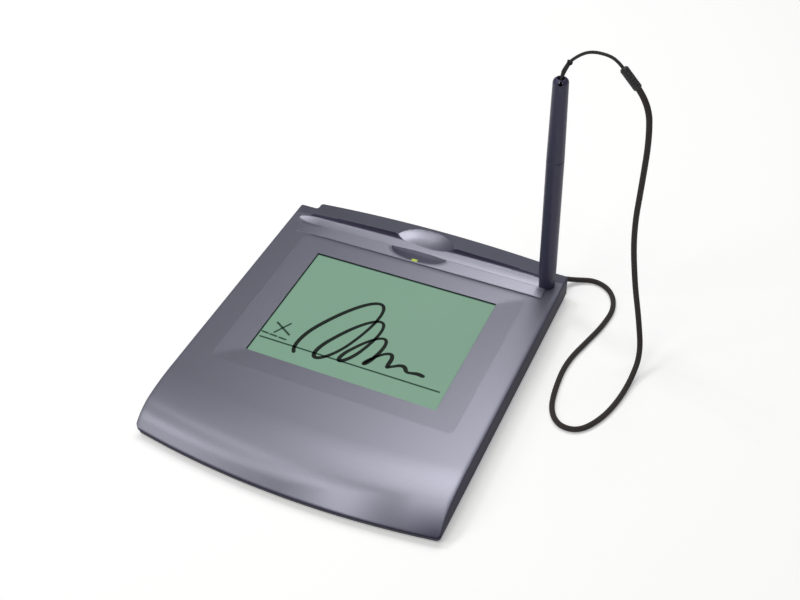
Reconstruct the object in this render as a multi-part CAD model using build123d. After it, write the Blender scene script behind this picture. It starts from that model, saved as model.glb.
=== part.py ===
from build123d import *
import math
import os

os.makedirs("parts", exist_ok=True)

# Signature pad: a flat housing with a display, a pen that stands in a socket at the rear right corner,
# and a cord that ties the pen to the housing. Millimetres, +Z up, +Y to the rear. The origin lies on
# the desk, under the centre of the housing's footprint.

# Housing
housing_width = 155.6
housing_depth = 177.8
cover_top = 14.8
wall = 2.0
parting_height = 3.8
foot_proud = 1.0
front_sagitta = 6.6
rear_sagitta = 1.0
front_corner_radius = 2.0
rear_corner_radius = 1.2
seam_inset = 0.5
cut_over = 1.0
snug = 0.05
assembly_gap = 0.2

# Front slope: three arcs, each tangent to the next, from the flat top to the upright front
brow_radius = 110.0
brow_turn = 9.4
shoulder_radius = 26.0
shoulder_turn = 30.6
nose_radius = 4.8
nose_turn = 50.0

# Display opening and the bevelled frame round it
view_width = 101.6
view_depth = 76.2
frame_side_margin = 13.1
frame_front_margin = 11.3
frame_rear_margin = 8.3
frame_corner_radius = 2.0
view_corner_radius = 0.5
lip_thickness = 0.6

# Raised rear deck, pen tray, rail and finger scoop
deck_rise = 0.8
deck_setback = 26.6
deck_gap = 2.2
deck_left_inset = 7.8
deck_right_inset = 7.6
deck_ramp = 12.0
deck_edge_radius = 0.5
rail_inset = 10.3
rail_offset = 3.6
rail_step = 4.4
rail_end_rise = 0.2
rail_crown = 2.2
rail_corner_radius = 1.5
tray_radius = 4.9
tray_web = 1.0
tray_inset = 4.2
tray_nose_radius = 3.9
tray_nose_length = 12.0
scoop_half_width = 19.0
scoop_half_depth = 11.9
scoop_drop = 3.1
scoop_offset = 1.2

# Case screws and feet
case_screw_inset = 8.8
case_screw_shares = (-0.35, 0.0, 0.33)
boss_radius = 3.2
boss_rise = 1.0
boss_root = 0.4
screw_radius = 1.25
screw_length = 7.0
screw_head_radius = 2.3
screw_head_thickness = 1.5
screw_head_sink = 0.3
screw_slot_width = 0.6
screw_slot_length = 2.8
screw_slot_depth = 0.8
counterbore_radius = 2.6
counterbore_depth = 1.8
foot_radius = 5.0
foot_sink = 0.9
foot_edge_radius = 0.4
foot_side_inset = 14.8
foot_end_inset = 15.9

# Base shell
floor_thickness = 1.6
base_lip_height = 1.4
base_lip_thickness = 1.2
base_edge = 0.6
rib_thickness = 1.6
rib_inset = 4.0
rib_shares = (-0.34, 0.0, 0.34)
cross_rib_share = 0.33
label_width = 62.0
label_depth = 30.0
label_thickness = 0.2
label_setback = 48.9

# Display stack, from the window down
glass_thickness = 1.1
glass_overlap = 3.2
gasket_thickness = 0.5
gasket_margin = 0.9
bezel_margin = 5.7
bezel_thickness = 0.4
panel_thickness = 2.0
sensor_board_thickness = 0.8
sensor_side_margin = 9.2
sensor_end_margin = 10.9
shield_thickness = 0.4
shield_border = 1.0

# Main board and what sits on it
board_width = 106.0
board_depth = 20.0
board_setback = 6.9
board_thickness = 1.6
board_post_height = 2.4
board_screw_inset = 4.0
board_post_radius = 2.6
board_screw_radius = 0.9
board_screw_bite = 1.6
board_head_radius = 1.9
board_head_thickness = 1.1
flex_thickness = 0.3
flex_width = 22.0
flex_bend_radius = 0.6
flex_landing = 4.0
flex_share = 0.25
light_setback = 1.7
light_width = 3.0
light_depth = 1.9
light_flange = 1.0
light_flange_thickness = 0.8
led_width = 2.0
led_depth = 1.2
led_height = 1.1
led_gap = 0.3
socket_offset = 20.0
socket_width = 7.8
socket_height = 4.0
socket_length = 9.2
socket_shell = 0.4
socket_sink = 0.5
socket_cavity = 6.5
socket_tongue_width = 5.0
socket_tongue_thickness = 0.8
chip_size = 8.0
chip_height = 1.2
# Each chip: its place as shares of the board's width and depth, and its size as a share of the largest
chip_shares = ((-0.405, 0.05, 1.0), (0.08, 0.1, 0.9), (0.34, 0.15, 0.6))

# Pen, standing in its socket; heights in this block count from the pen's tip
pen_inset = 8.2
pen_setback = 15.5
pen_tip_gap = 0.2
pen_length = 134.5
nib_radius = 0.8
nib_length = 26.0
nib_show = 1.8
nib_travel = 0.4
nib_stop_gap = 0.05
nib_clearance = 0.07
pen_mouth_radius = 1.6
pen_grip_radius = 4.0
pen_belly_radius = 4.4
pen_belly_height = 25.5
pen_seam_radius = 4.25
pen_seam_height = 90.5
pen_seam_depth = 0.2
pen_top_radius = 3.62
pen_top_round = 2.2
pen_bore_radius = 2.85
pen_bore_foot = 12.4
pen_throat_radius = 2.2
pen_throat_foot = 7.0
tenon_length = 8.0
tenon_bore_radius = 2.0
barrel_cap = 16.5
core_length = 17.0
coil_gap = 0.2
coil_length = 11.0
coil_radius = 2.7
sensor_length = 5.0
pen_board_width = 4.6
pen_board_thickness = 0.8
pen_board_length = 40.0
eyelet_radius = 1.8
eyelet_depth = 4.8
eyelet_pin_radius = 0.45
eyelet_pin_drop = 2.9
eyelet_pin_length = 6.0
eyelet_window_radius = 1.0
eyelet_window_tilt = 35.0
eyelet_window_drop = 3.4
eyelet_heading = -75.0

# Pen socket under the cover
pen_hole_clearance = 0.09
well_radius = 5.0
well_foot_radius = 3.4
well_waist_rise = 1.2
well_floor = 0.5
well_bottom_radius = 2.0
well_cup_height = 2.3
well_mouth_depth = 1.8

# Tether
cord_radius = 1.35
string_radius = 0.8
strand_radius = 0.5
knot_radius = 1.5
ferrule_radius = 2.0
ferrule_rib_count = 7
ferrule_rib_depth = 0.25
anchor_inset = 5.6
anchor_rise = 4.8
anchor_neck_radius = 2.7
anchor_flange_radius = 3.0
anchor_flange_thickness = 0.8
anchor_barb_radius = 3.0
anchor_barb_thickness = 0.8
bend_share = 0.45

# Routes of the tether, by hand: the cord from its anchor to the ferrule, the string from the knot to
# the ferrule, and the loop from the knot round the pin in the pen's end and back
tether_route = [
    (72.2, 83.8, 8.6), (72.4, 90.2, 6.0), (77.6, 95.6, 2.0), (88.3, 100.2, 1.4), (98.4, 95.2, 1.4),
    (103.5, 83.2, 1.4), (101.4, 68.0, 1.4), (98.4, 57.5, 1.4), (93.0, 38.5, 1.4), (93.6, 20.0, 1.4),
    (96.2, 6.0, 1.4), (103.0, -1.5, 1.4), (112.5, -0.5, 1.4), (119.5, 10.0, 1.4), (123.5, 23.5, 1.4),
    (125.5, 38.5, 2.6), (126.0, 50.5, 9.0), (121.5, 57.0, 24.5), (116.5, 58.5, 47.0), (112.5, 60.0, 75.0),
    (113.5, 60.0, 105.0), (114.0, 59.7, 127.0), (112.57, 60.12, 142.72), (106.0, 62.1, 148.3),
]
string_route = [
    (73.6, 71.9, 147.9), (76.8, 70.9, 152.0), (83.0, 69.1, 156.6), (91.0, 66.7, 158.0),
    (95.78, 65.18, 156.98), (98.7, 64.3, 154.5),
]
loop_route = [
    (73.1, 71.4, 147.0), (71.4, 71.8, 143.2), (69.9, 72.4, 138.5), (69.9, 72.4, 133.9),
    (69.3, 74.4, 133.9), (69.3, 74.4, 138.5), (71.2, 73.7, 143.2), (73.1, 72.5, 147.0),
]

half_width = housing_width / 2
front_edge = -housing_depth / 2
rear_edge = housing_depth / 2
underside = cover_top - wall
pen_x = half_width - pen_inset
pen_y = rear_edge - pen_setback
deck_front = rear_edge - deck_setback
frame_width = view_width + 2 * frame_side_margin
frame_depth = frame_front_margin + view_depth + frame_rear_margin
frame_y = deck_front - deck_gap - frame_depth / 2
view_y = deck_front - deck_gap - frame_rear_margin - view_depth / 2
shell_floor = foot_proud + floor_thickness
front_radius = (half_width**2 + front_sagitta**2) / (2 * front_sagitta)
front_centre = front_edge + front_radius
rail_half = half_width - rail_inset
rail_front = pen_y + rail_offset
rear_radius = (rail_half**2 + rear_sagitta**2) / (2 * rear_sagitta)
shoulder_slope = math.radians(brow_turn + shoulder_turn)
brow_drop = brow_radius * (1 - math.cos(math.radians(brow_turn)))
shoulder_drop = shoulder_radius * (math.cos(math.radians(brow_turn)) - math.cos(shoulder_slope))
nose_drop = nose_radius * math.cos(shoulder_slope)
nose_height = cover_top - brow_drop - shoulder_drop - nose_drop
form_reach = housing_depth + nose_radius
form_sweep = 2 * math.degrees(math.asin(housing_width / front_radius))
deck_height = cover_top + deck_rise
rail_top = cover_top + rail_end_rise + rail_crown
tray_axis_height = underside + tray_web + tray_radius
light_y = deck_front + light_setback
lip_top = parting_height + base_lip_height
hole_radius = pen_grip_radius + pen_hole_clearance
pen_tip_height = shell_floor + well_floor + pen_tip_gap
pen_grip_height = deck_height - pen_tip_height
pen_place = Pos(pen_x, pen_y, pen_tip_height)
boss_foot = parting_height + boss_rise
screw_low = foot_proud + screw_head_sink
screw_tip = screw_low + screw_head_thickness + screw_length
case_screw_x = half_width - case_screw_inset
case_screw_rows = [share * housing_depth for share in case_screw_shares]
case_screw_spots = [(x, y) for y in case_screw_rows for x in (-case_screw_x, case_screw_x)]
foot_x = half_width - foot_side_inset
foot_y = rear_edge - foot_end_inset
foot_spots = [(x, y) for y in (-foot_y, foot_y) for x in (-foot_x, foot_x)]
label_y = front_edge + label_setback
board_height = shell_floor + board_post_height
board_top = board_height + board_thickness
board_y = rear_edge - board_setback - board_depth / 2
board_screw_x = board_width / 2 - board_screw_inset
board_screw_reach = board_depth / 2 - board_screw_inset
board_screw_rows = (board_y - board_screw_reach, board_y + board_screw_reach)
board_screw_spots = [(x, y) for y in board_screw_rows for x in (-board_screw_x, board_screw_x)]
glass_low = underside - glass_thickness
gasket_low = glass_low - gasket_thickness
panel_top = gasket_low - bezel_thickness
panel_low = panel_top - panel_thickness
sensor_board_low = panel_low - sensor_board_thickness
shield_low = sensor_board_low - shield_thickness
sensor_board_width = view_width + 2 * sensor_side_margin
sensor_board_depth = view_depth + 2 * sensor_end_margin
lip_inset = wall + assembly_gap
core_top = pen_throat_foot + core_length
coil_foot = pen_bore_foot + coil_gap
barrel_bore_top = pen_length - barrel_cap
anchor_x = half_width - anchor_inset
anchor_z = parting_height + anchor_rise
sensor_foot = nib_length + nib_travel + nib_stop_gap


def save(shape, name):
    shape.label = name
    export_step(shape, f"parts/{name}.step")


def slab(width, depth, low, high, x=0, y=0):
    """A block given by its plan size, its two heights and its centre."""
    return Pos(x, y, (low + high) / 2) * Box(width, depth, high - low)


def rod(radius, low, high, x=0, y=0):
    return Pos(x, y, (low + high) / 2) * Cylinder(radius, high - low)


def turned(points):
    """A solid turned about Z from the corners of its half section."""
    return revolve(Plane.XZ * make_face(Polyline(*points, close=True)), Axis.Z)


def rear_line(x, inset):
    return rear_edge - x * x / (2 * rear_radius) - inset


def front_line(x, inset):
    return front_centre - math.sqrt((front_radius - inset) ** 2 - x * x)


shoulder_line = rear_line(rail_half, 0) - rail_step


def front_form(inset, low):
    """All that lies under the sloping top, turned about the centre of the front edge's arc."""
    foot = (front_radius - inset, low)
    nose = (front_radius - inset, nose_height)
    back = front_radius - form_reach
    tight = JernArc(nose, (0, 1), nose_radius - inset, nose_turn)
    round_over = JernArc(tight @ 1, tight % 1, shoulder_radius - inset, shoulder_turn)
    brow = JernArc(round_over @ 1, round_over % 1, brow_radius - inset, brow_turn)
    rest = Polyline(brow @ 1, (back, cover_top - inset), (back, low), foot, nose)
    section = make_face(Curve() + [tight, round_over, brow, rest])
    plane = Plane(origin=(0, 0, 0), x_dir=(0, -1, 0), z_dir=(-1, 0, 0))
    whole = revolve(plane * section, Axis.Z, form_sweep)
    return Pos(0, front_centre, 0) * Rot(0, 0, -form_sweep / 2) * whole


def plan_face(inset, rounded=False):
    """The housing seen from above, drawn in from its outline by inset."""
    side = half_width - inset
    end = rail_half - inset
    left = [
        (-side, front_line(side, inset)),
        (-side, shoulder_line - inset),
        (-end, shoulder_line - inset),
        (-end, rear_line(rail_half, inset)),
    ]
    right = [(-x, y) for x, y in reversed(left)]
    front = ThreePointArc(right[-1], (0, front_edge + inset), left[0])
    rear = ThreePointArc(left[-1], (0, rear_edge - inset), right[0])
    face = make_face(Curve() + [Polyline(*left), rear, Polyline(*right), front])
    if not rounded:
        return face
    radii = (
        (left[0], front_corner_radius),
        (left[1], rear_corner_radius),
        (left[2], rail_corner_radius),
        (left[3], rail_corner_radius),
    )
    for place, radius in radii:
        pair = [v for v in face.vertices() if math.hypot(abs(v.X) + place[0], v.Y - place[1]) < snug]
        face = fillet(pair, radius)
    return face


def block(inset, low, high, rounded=False):
    return extrude(Pos(0, 0, low) * plan_face(inset, rounded), high - low)


def housing(inset, low, rounded=False):
    """The housing's smooth outer form, drawn in by inset, from low up to its flat top."""
    return block(inset, low, cover_top - inset, rounded) & front_form(inset, low)


def make_scoop():
    ball = scale(Sphere(1), by=(scoop_half_width, scoop_half_depth, scoop_drop))
    return Pos(0, pen_y + scoop_offset, rail_top) * ball


def make_tray():
    """The hollow that the pen lies in, its nose to the left, down to the tray's floor."""
    nose = tray_inset - half_width
    body = nose + tray_nose_length
    outline = Curve() + [
        Polyline((nose, 0), (nose, tray_nose_radius)),
        TangentArc((body, tray_radius), (nose, tray_nose_radius), tangent=(-1, 0)),
        Polyline((body, tray_radius), (pen_x, tray_radius), (pen_x, 0), (nose, 0)),
    ]
    return Pos(0, pen_y, tray_axis_height) * revolve(make_face(outline), Axis.X)


def make_cover():
    shell = housing(0, parting_height, rounded=True)
    deck_left = deck_left_inset - half_width
    deck_right = half_width - deck_right_inset
    deck_section = Polyline(
        (deck_left, cover_top), (deck_left + deck_ramp, deck_height), (deck_right, deck_height),
        (deck_right, underside), (deck_left, underside), close=True,
    )
    deck = extrude(Plane.XZ * make_face(deck_section), -(pen_y - deck_front))
    deck = Pos(0, deck_front, 0) * deck
    front_top = deck.edges().filter_by(Axis.X).group_by(Axis.Z)[-1].group_by(Axis.Y)[0]
    deck = fillet(front_top, deck_edge_radius)
    rail_end = cover_top + rail_end_rise
    crown = ThreePointArc((-rail_half, rail_end), (0, rail_top), (rail_half, rail_end))
    rail_foot = Polyline(crown @ 1, (rail_half, underside), (-rail_half, underside), crown @ 0)
    rail_section = make_face(Curve() + [crown, rail_foot])
    rail = Pos(0, rail_front, 0) * extrude(Plane.XZ * rail_section, rail_front - rear_edge - cut_over)
    rail = rail & block(0, underside, rail_top + cut_over, rounded=True)
    shell = shell + deck + rail
    hollow = housing(wall, parting_height - cut_over)
    shell = shell - hollow
    for x, y in case_screw_spots:
        post = rod(boss_radius, boss_foot, underside + boss_root, x, y)
        pilot = rod(screw_radius, boss_foot - cut_over, screw_tip, x, y)
        shell = shell + post - pilot
    mouth = Pos(0, frame_y, cover_top) * RectangleRounded(frame_width, frame_depth, frame_corner_radius)
    view = RectangleRounded(view_width, view_depth, view_corner_radius)
    throat = Pos(0, view_y, underside + lip_thickness) * view
    shell = shell - loft([throat.face(), mouth.face()], ruled=True)
    shell = shell - extrude(Pos(0, view_y, underside - cut_over) * view, wall + cut_over)
    shell = shell - make_tray() - make_scoop()
    shell = shell - rod(hole_radius, underside - cut_over, rail_top, pen_x, pen_y)
    light_cut = (light_width + 2 * snug, light_depth + 2 * snug)
    shell = shell - slab(*light_cut, underside - cut_over, rail_top, 0, light_y)
    port_width = socket_width + 2 * assembly_gap
    port_heights = (board_top - assembly_gap, board_top + socket_height + assembly_gap)
    shell = shell - slab(port_width, 2 * wall + cut_over, *port_heights, -socket_offset, rear_edge)
    neck = Cylinder(anchor_neck_radius, 2 * wall + cut_over)
    return shell - Pos(anchor_x, shoulder_line, anchor_z) * Rot(90, 0, 0) * neck


def make_base():
    tray = block(seam_inset, foot_proud, parting_height, rounded=True)
    tray = chamfer(tray.edges().group_by(Axis.Z)[0], base_edge)
    rim = block(lip_inset, shell_floor, lip_top) & front_form(lip_inset, foot_proud)
    room_inset = lip_inset + base_lip_thickness
    room = block(room_inset, shell_floor, lip_top + cut_over) & front_form(room_inset, foot_proud)
    shell = tray + rim - room
    rib_rows = [view_y + share * sensor_board_depth for share in rib_shares]
    for y in rib_rows:
        rib_length = sensor_board_width - 2 * rib_inset
        shell = shell + slab(rib_length, rib_thickness, shell_floor, shield_low, 0, y)
    rib_span = rib_rows[-1] - rib_rows[0]
    cross_rib_x = cross_rib_share * sensor_board_width
    for x in (-cross_rib_x, cross_rib_x):
        shell = shell + slab(rib_thickness, rib_span, shell_floor, shield_low, x, view_y)
    for x, y in case_screw_spots:
        post = rod(boss_radius, foot_proud, boss_foot, x, y)
        sink = rod(counterbore_radius, foot_proud - cut_over, foot_proud + counterbore_depth, x, y)
        hole = rod(screw_radius + assembly_gap, foot_proud, boss_foot + cut_over, x, y)
        shell = shell + post - sink - hole
    for x, y in board_screw_spots:
        post = rod(board_post_radius, shell_floor, board_height, x, y)
        pilot = rod(board_screw_radius, board_height - board_screw_bite, board_height + cut_over, x, y)
        shell = shell + post - pilot
    for x, y in foot_spots:
        shell = shell - rod(foot_radius, foot_proud - cut_over, foot_proud + foot_sink, x, y)
    label_top = foot_proud + label_thickness
    return shell - slab(label_width, label_depth, foot_proud - cut_over, label_top, 0, label_y)


def make_feet():
    feet = []
    for x, y in foot_spots:
        foot = rod(foot_radius, 0, foot_proud + foot_sink, x, y)
        feet.append(chamfer(foot.edges().group_by(Axis.Z)[0], foot_edge_radius))
    return Compound(children=feet)


def make_screw(low, head_radius, head_height, shank_radius, tip):
    """A pan head at the bottom with a crossed slot, and a shank that points up."""
    head = rod(head_radius, low, low + head_height)
    screw = head + rod(shank_radius, low + head_height, tip)
    for size in ((screw_slot_length, screw_slot_width), (screw_slot_width, screw_slot_length)):
        screw = screw - slab(*size, low - cut_over, low + screw_slot_depth)
    return screw


def make_case_screws():
    one = make_screw(screw_low, screw_head_radius, screw_head_thickness, screw_radius, screw_tip)
    return Compound(children=[Pos(x, y, 0) * one for x, y in case_screw_spots])


def make_board_screws():
    top = board_head_thickness + board_thickness + board_screw_bite
    one = make_screw(0, board_head_radius, board_head_thickness, board_screw_radius, top)
    level = board_top + board_head_thickness
    return Compound(children=[Pos(x, y, level) * Rot(180, 0, 0) * one for x, y in board_screw_spots])


def framed(margin, low, high, opening):
    """A flat ring round the view, given how far it reaches and how far it opens beyond the view."""
    outer = slab(view_width + 2 * margin, view_depth + 2 * margin, low, high, 0, view_y)
    width = view_width + 2 * opening
    depth = view_depth + 2 * opening
    return outer - slab(width, depth, low - cut_over, high + cut_over, 0, view_y)


def make_glass():
    width = view_width + 2 * glass_overlap
    depth = view_depth + 2 * glass_overlap
    return slab(width, depth, glass_low, underside, 0, view_y)


def make_gasket():
    return framed(glass_overlap, gasket_low, glass_low, gasket_margin)


def make_bezel():
    flange = framed(bezel_margin, panel_top, gasket_low, gasket_margin)
    return flange + framed(bezel_margin, panel_low, panel_top, bezel_margin - bezel_thickness)


def make_panel():
    margin = bezel_margin - bezel_thickness - assembly_gap
    return slab(view_width + 2 * margin, view_depth + 2 * margin, panel_low, panel_top, 0, view_y)


def make_sensor_board():
    return slab(sensor_board_width, sensor_board_depth, sensor_board_low, panel_low, 0, view_y)


def make_shield():
    width = sensor_board_width - 2 * shield_border
    depth = sensor_board_depth - 2 * shield_border
    return slab(width, depth, shield_low, sensor_board_low, 0, view_y)


def make_main_board():
    board = slab(board_width, board_depth, board_height, board_top, 0, board_y)
    for x, y in board_screw_spots:
        board = board - rod(board_screw_radius, board_height - cut_over, board_top + cut_over, x, y)
    return board


def make_board_chips():
    chips = []
    for x_share, y_share, size_share in chip_shares:
        size = chip_size * size_share
        place = (x_share * board_width, board_y + y_share * board_depth)
        chips.append(slab(size, size, board_top, board_top + chip_height, *place))
    return Compound(children=chips)


def make_flex(x, start_y, start_low):
    """A ribbon that runs rearwards, drops to the main board and lies on it. It is drawn in Y and Z."""
    high = start_low + flex_thickness / 2
    low = board_top + flex_thickness / 2
    drop_y = view_y + sensor_board_depth / 2 + flex_bend_radius + flex_thickness
    turn_y = drop_y + 2 * flex_bend_radius
    corners = [(start_y, high), (drop_y, high), (turn_y, low), (turn_y + flex_landing, low)]
    path = FilletPolyline(*corners, radius=flex_bend_radius)
    ribbon = extrude(Plane.YZ * trace(path, flex_thickness), flex_width)
    return Pos(x - flex_width / 2, 0, 0) * ribbon


def make_display_flex():
    return make_flex(-flex_share * board_width, view_y + view_depth / 2 + bezel_margin, panel_low)


def make_sensor_flex():
    start_y = view_y + view_depth / 2 + bezel_margin + flex_bend_radius
    return make_flex(flex_share * board_width, start_y, panel_low)


def make_led():
    return slab(led_width, led_depth, board_top, board_top + led_height, 0, light_y)


def make_light_pipe():
    stem = slab(light_width, light_depth, board_top + led_height + led_gap, deck_height, 0, light_y)
    brim = (light_width + 2 * light_flange, light_depth + 2 * light_flange)
    flange = slab(*brim, underside - light_flange_thickness, underside, 0, light_y)
    return stem + flange - make_scoop()


def make_data_socket():
    mouth = rear_edge - socket_sink
    body_y = mouth - socket_length / 2
    body = slab(socket_width, socket_length, board_top, board_top + socket_height, -socket_offset, body_y)
    inner_low = board_top + socket_shell
    inner_high = board_top + socket_height - socket_shell
    inner_y = mouth - socket_cavity / 2 + cut_over / 2
    inner_width = socket_width - 2 * socket_shell
    inner = slab(inner_width, socket_cavity + cut_over, inner_low, inner_high, -socket_offset, inner_y)
    middle = board_top + socket_height / 2
    tongue_heights = (middle - socket_tongue_thickness / 2, middle + socket_tongue_thickness / 2)
    tongue_y = mouth - socket_cavity / 2 - socket_shell
    tongue = slab(socket_tongue_width, socket_cavity, *tongue_heights, -socket_offset, tongue_y)
    return body - inner + tongue


def make_pen_well():
    waist = lip_top + well_waist_rise
    outside = [
        (0, shell_floor), (well_foot_radius, shell_floor), (well_foot_radius, waist),
        (well_radius, waist), (well_radius, underside), (hole_radius, underside),
    ]
    inside = [
        (hole_radius, underside - well_mouth_depth), (well_bottom_radius, shell_floor + well_cup_height),
        (well_bottom_radius, shell_floor + well_floor), (0, shell_floor + well_floor),
    ]
    return Pos(pen_x, pen_y, 0) * turned(outside + inside)


def make_tether_anchor():
    """The moulded plug on the cord's end, snapped into the rear wall."""
    neck = rod(anchor_neck_radius, -wall, 0)
    flange = rod(anchor_flange_radius, 0, anchor_flange_thickness)
    barb = rod(anchor_barb_radius, -wall - anchor_barb_thickness, -wall)
    plug = neck + flange + barb
    return Pos(anchor_x, shoulder_line, anchor_z) * Rot(-90, 0, 0) * plug


def make_pen_grip():
    belly = (pen_belly_radius, pen_belly_height)
    grip = (pen_grip_radius, pen_grip_height)
    mouth = (pen_mouth_radius, nib_show)
    upper = TangentArc(belly, grip, tangent=(0, -1))
    lower = TangentArc(grip, mouth, tangent=upper % 1)
    nib_bore = nib_radius + nib_clearance
    rest = Polyline(
        mouth, (nib_bore, nib_show), (nib_bore, pen_throat_foot), (pen_throat_radius, pen_throat_foot),
        (pen_throat_radius, pen_bore_foot), (pen_bore_radius, pen_bore_foot),
        (pen_bore_radius, pen_seam_height), (pen_seam_radius - pen_seam_depth, pen_seam_height),
        (pen_seam_radius, pen_seam_height - pen_seam_depth),
        belly,
    )
    section = make_face(Curve() + [upper, lower, rest])
    return pen_place * revolve(Plane.XZ * section, Axis.Z)


def make_pen_barrel():
    shoulder = (pen_top_radius, pen_length - pen_top_round)
    dome = JernArc(shoulder, (0, 1), pen_top_round, 90)
    tenon_foot = pen_seam_height - tenon_length
    tenon_radius = pen_bore_radius - snug
    rest = Polyline(
        dome @ 1, (0, pen_length), (0, barrel_bore_top), (tenon_bore_radius, barrel_bore_top),
        (tenon_bore_radius, tenon_foot), (tenon_radius, tenon_foot), (tenon_radius, pen_seam_height),
        (pen_seam_radius - pen_seam_depth, pen_seam_height),
        (pen_seam_radius, pen_seam_height + pen_seam_depth),
        shoulder,
    )
    barrel = revolve(Plane.XZ * make_face(Curve() + [dome, rest]), Axis.Z)
    barrel = barrel - rod(eyelet_radius, pen_length - eyelet_depth, pen_length + cut_over)
    barrel = barrel - make_eyelet_pin_rod()
    window = rod(eyelet_window_radius, 0, pen_top_radius * 2)
    tilt = Rot(0, 0, eyelet_heading) * Rot(0, 90 - eyelet_window_tilt, 0)
    return pen_place * (barrel - Pos(0, 0, pen_length - eyelet_window_drop) * tilt * window)


def make_eyelet_pin_rod():
    """The pin across the pen's end, square to the side window, in the pen's own heights."""
    lying = Rot(0, 0, eyelet_heading + 90) * Rot(0, 90, 0)
    return Pos(0, 0, pen_length - eyelet_pin_drop) * lying * Cylinder(eyelet_pin_radius, eyelet_pin_length)


def make_pen_nib():
    return pen_place * (rod(nib_radius, nib_radius, nib_length) + Pos(0, 0, nib_radius) * Sphere(nib_radius))


def make_pen_core():
    inner = nib_radius + 2 * nib_clearance
    outer = pen_throat_radius - snug
    return pen_place * (rod(outer, pen_throat_foot, core_top) - rod(inner, 0, pen_length))


def make_pen_coil():
    inner = pen_throat_radius - snug
    return pen_place * (rod(coil_radius, coil_foot, coil_foot + coil_length) - rod(inner, 0, pen_length))


def make_pen_sensor():
    return pen_place * rod(pen_bore_radius - snug, sensor_foot, sensor_foot + sensor_length)


def make_pen_board():
    foot = sensor_foot + sensor_length
    return pen_place * slab(pen_board_width, pen_board_thickness, foot, foot + pen_board_length)


def cord_tube(points, radius, name):
    """A tube along straight runs joined by arcs as large as their runs allow. It prints what it made."""
    places = [Vector(*p) for p in points]
    radii = []
    for before, here, after in zip(places, places[1:], places[2:]):
        first = here - before
        second = after - here
        half_turn = math.radians(first.get_angle(second)) / 2
        radii.append(bend_share * min(first.length, second.length) / math.tan(half_turn))
    path = FilletPolyline(*places, radius=radii)
    start = Plane(origin=path @ 0, z_dir=path % 0)
    tube = sweep(start * Circle(radius), path=path)
    expected = math.pi * radius**2 * path.length
    print(name, "radii", [round(r, 1) for r in radii])
    volumes = (round(tube.volume, 1), round(expected, 1))
    print(name, "length", round(path.length, 1), "volume", volumes)
    return tube


def make_ferrule():
    """The sleeve that joins the string to the cord, with ribs round it."""
    head = Vector(*string_route[-1])
    foot = Vector(*tether_route[-1])
    axis = foot - head
    pitch = axis.length / ferrule_rib_count
    half = pitch / 2
    waist = ferrule_radius - ferrule_rib_depth
    outline = [(0, 0), (waist, 0)]
    for rib in range(ferrule_rib_count):
        low = rib * pitch
        crest = [(ferrule_radius, low + half / 2), (ferrule_radius, low + half * 3 / 2)]
        outline += crest + [(waist, low + pitch)]
    outline.append((0, axis.length))
    place = Plane(origin=head, z_dir=axis)
    return place * turned(outline)


def make_string_knot():
    return Pos(*string_route[0]) * Sphere(knot_radius)


save(make_cover(), "top_cover")
save(make_base(), "base_shell")
save(make_feet(), "rubber_feet")
save(make_case_screws(), "case_screws")
save(slab(label_width, label_depth, foot_proud, foot_proud + label_thickness, 0, label_y), "blank_label")
save(make_glass(), "display_window")
save(make_gasket(), "window_gasket")
save(make_bezel(), "display_bezel")
save(make_panel(), "display_panel")
save(make_sensor_board(), "pen_sensor_board")
save(make_shield(), "shield_plate")
save(make_main_board(), "main_board")
save(make_board_chips(), "board_chips")
save(make_board_screws(), "board_screws")
save(make_display_flex(), "display_flex")
save(make_sensor_flex(), "sensor_flex")
save(make_led(), "status_led")
save(make_light_pipe(), "light_pipe")
save(make_data_socket(), "data_socket")
save(make_pen_well(), "pen_well")
save(make_tether_anchor(), "tether_anchor")
save(make_pen_grip(), "pen_grip")
save(make_pen_barrel(), "pen_barrel")
save(make_pen_nib(), "pen_nib")
save(make_pen_core(), "pen_core")
save(make_pen_coil(), "pen_coil")
save(make_pen_sensor(), "pen_pressure_sensor")
save(make_pen_board(), "pen_board")
save(pen_place * make_eyelet_pin_rod(), "eyelet_pin")
save(cord_tube(tether_route, cord_radius, "tether_cord"), "tether_cord")
save(make_ferrule(), "cord_ferrule")
save(cord_tube(string_route, string_radius, "pen_string"), "pen_string")
save(make_string_knot(), "string_knot")
save(cord_tube(loop_route, strand_radius, "string_loop"), "string_loop")
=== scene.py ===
import math

import bpy
import numpy as np
from mathutils import Euler, Matrix, Vector, geometry
from mathutils.kdtree import KDTree


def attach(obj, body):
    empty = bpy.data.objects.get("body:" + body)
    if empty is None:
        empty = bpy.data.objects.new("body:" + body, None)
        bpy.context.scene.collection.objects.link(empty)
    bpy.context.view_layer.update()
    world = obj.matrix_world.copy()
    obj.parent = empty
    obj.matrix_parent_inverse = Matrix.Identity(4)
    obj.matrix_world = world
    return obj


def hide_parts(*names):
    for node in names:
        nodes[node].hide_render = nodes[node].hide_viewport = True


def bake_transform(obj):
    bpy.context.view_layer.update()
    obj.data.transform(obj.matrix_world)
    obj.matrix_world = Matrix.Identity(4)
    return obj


MM = 0.001

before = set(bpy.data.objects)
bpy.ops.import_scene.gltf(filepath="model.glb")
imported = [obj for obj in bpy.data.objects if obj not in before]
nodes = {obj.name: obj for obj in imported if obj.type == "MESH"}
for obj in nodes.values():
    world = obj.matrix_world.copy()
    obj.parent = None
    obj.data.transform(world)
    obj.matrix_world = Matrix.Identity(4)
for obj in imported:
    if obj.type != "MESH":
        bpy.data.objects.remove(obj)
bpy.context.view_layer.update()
scene = bpy.context.scene

# ---- colours and finishes

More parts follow.
